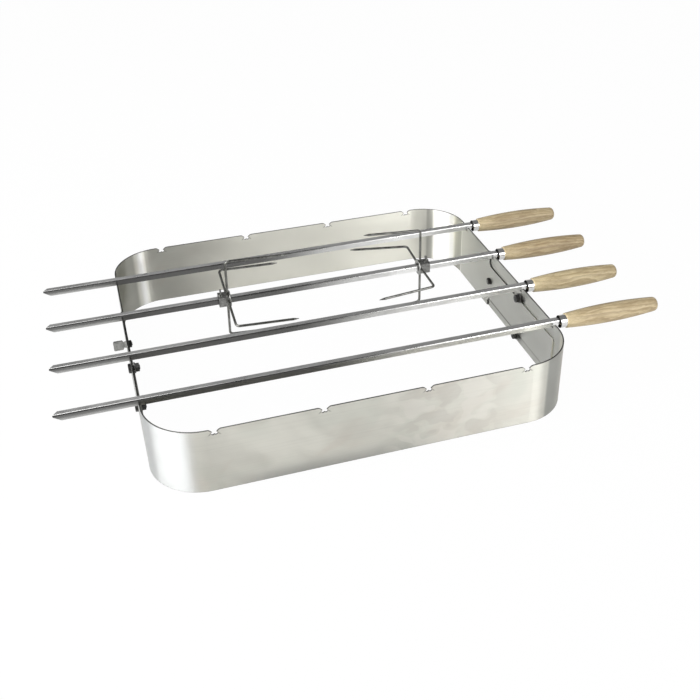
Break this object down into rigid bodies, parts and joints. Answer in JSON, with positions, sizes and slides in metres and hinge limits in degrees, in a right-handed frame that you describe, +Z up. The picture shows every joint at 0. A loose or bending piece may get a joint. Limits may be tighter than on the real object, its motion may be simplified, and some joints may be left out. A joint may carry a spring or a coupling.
{
  "type": "churrasco grill frame",
  "caption": "Open rounded sheet metal frame that extends in depth, with wooden-handled skewers lying across it in notches and clamped meat forks on one skewer.",
  "frame": {"origin": "centre of the closed frame's outline, on the surface that the frame stands on", "axes": "+X towards the skewers' handles, +Y towards the rear half that pulls out, +Z up"},
  "size_m": [0.7335, 0.425, 0.1425],
  "materials": {
    "frame_sheet": "brushed",
    "fastener_steel": "satin",
    "skewer_steel": "satin",
    "fork_steel": "satin",
    "ferrule_steel": "polished",
    "handle_wood": "smooth, lightly oiled"
  },
  "bodies": {
    "front_half": {"front_half_frame": "frame_sheet", "clamp_bolts": "fastener_steel", "clamp_washers": "fastener_steel"},
    "rear_half": {"rear_half_frame": "frame_sheet", "thumb_screw_nuts": "fastener_steel"},
    "clamp_nut_left_upper": {"clamp_nut_left_upper": "fastener_steel"},
    "clamp_nut_left_lower": {"clamp_nut_left_lower": "fastener_steel"},
    "thumb_screw_left": {"thumb_screw_left": "fastener_steel"},
    "clamp_nut_right_upper": {"clamp_nut_right_upper": "fastener_steel"},
    "clamp_nut_right_lower": {"clamp_nut_right_lower": "fastener_steel"},
    "thumb_screw_right": {"thumb_screw_right": "fastener_steel"},
    "skewer_1": {"skewer_1_blade": "skewer_steel", "skewer_1_ferrule": "ferrule_steel", "skewer_1_handle": "handle_wood"},
    "skewer_2": {"skewer_2_blade": "skewer_steel", "skewer_2_ferrule": "ferrule_steel", "skewer_2_handle": "handle_wood"},
    "skewer_3": {"skewer_3_blade": "skewer_steel", "skewer_3_ferrule": "ferrule_steel", "skewer_3_handle": "handle_wood"},
    "skewer_4": {"skewer_4_blade": "skewer_steel", "skewer_4_ferrule": "ferrule_steel", "skewer_4_handle": "handle_wood"},
    "fork_left": {"fork_left_hub": "fork_steel", "fork_left_prong_top": "fork_steel", "fork_left_prong_rear": "fork_steel", "fork_left_prong_bottom": "fork_steel", "fork_left_prong_front": "fork_steel"},
    "fork_left_screw": {"fork_left_screw": "fork_steel"},
    "fork_right": {"fork_right_hub": "fork_steel", "fork_right_prong_top": "fork_steel", "fork_right_prong_rear": "fork_steel", "fork_right_prong_bottom": "fork_steel", "fork_right_prong_front": "fork_steel"},
    "fork_right_screw": {"fork_right_screw": "fork_steel"}
  },
  "joints": [
    {"name": "frame_extension", "type": "slide", "parent": "front_half", "child": "rear_half", "axis": [0, 1, 0], "range_m": [0, 0.08]},
    {"name": "clamp_nut_left_upper_turn", "type": "hinge", "parent": "front_half", "child": "clamp_nut_left_upper", "pos_m": [-0.243, -0.0475, 0.0665], "axis": [-1, 0, 0], "range_deg": [0, 360]},
    {"name": "clamp_nut_left_lower_turn", "type": "hinge", "parent": "front_half", "child": "clamp_nut_left_lower", "pos_m": [-0.243, -0.0475, 0.0099], "axis": [-1, 0, 0], "range_deg": [0, 360]},
    {"name": "thumb_screw_left_turn", "type": "hinge", "parent": "rear_half", "child": "thumb_screw_left", "pos_m": [-0.25, 0.0455, 0.041], "axis": [-1, 0, 0], "range_deg": [0, 360]},
    {"name": "clamp_nut_right_upper_turn", "type": "hinge", "parent": "front_half", "child": "clamp_nut_right_upper", "pos_m": [0.243, -0.0475, 0.0665], "axis": [-1, 0, 0], "range_deg": [0, 360]},
    {"name": "clamp_nut_right_lower_turn", "type": "hinge", "parent": "front_half", "child": "clamp_nut_right_lower", "pos_m": [0.243, -0.0475, 0.0099], "axis": [-1, 0, 0], "range_deg": [0, 360]},
    {"name": "thumb_screw_right_turn", "type": "hinge", "parent": "rear_half", "child": "thumb_screw_right", "pos_m": [0.25, 0.0455, 0.041], "axis": [1, 0, 0], "range_deg": [0, 360]},
    {"name": "skewer_1_lift", "type": "slide", "parent": "rear_half", "child": "skewer_1", "axis": [0, 0, 1], "range_m": [0, 0.1]},
    {"name": "skewer_2_lift", "type": "slide", "parent": "front_half", "child": "skewer_2", "axis": [0, 0, 1], "range_m": [0, 0.1]},
    {"name": "skewer_3_lift", "type": "slide", "parent": "front_half", "child": "skewer_3", "axis": [0, 0, 1], "range_m": [0, 0.1]},
    {"name": "skewer_4_lift", "type": "slide", "parent": "front_half", "child": "skewer_4", "axis": [0, 0, 1], "range_m": [0, 0.1]},
    {"name": "fork_left_slide", "type": "slide", "parent": "skewer_2", "child": "fork_left", "axis": [1, 0, 0], "range_m": [-0.1, 0.05]},
    {"name": "fork_left_screw_turn", "type": "hinge", "parent": "fork_left", "child": "fork_left_screw", "pos_m": [-0.12545, 0.0475, 0.092], "axis": [0, 0, 1], "range_deg": [0, 360]},
    {"name": "fork_right_slide", "type": "slide", "parent": "skewer_2", "child": "fork_right", "axis": [1, 0, 0], "range_m": [-0.05, 0.08]},
    {"name": "fork_right_screw_turn", "type": "hinge", "parent": "fork_right", "child": "fork_right_screw", "pos_m": [0.15195, 0.0475, 0.092], "axis": [0, 0, 1], "range_deg": [0, 360]}
  ]
}
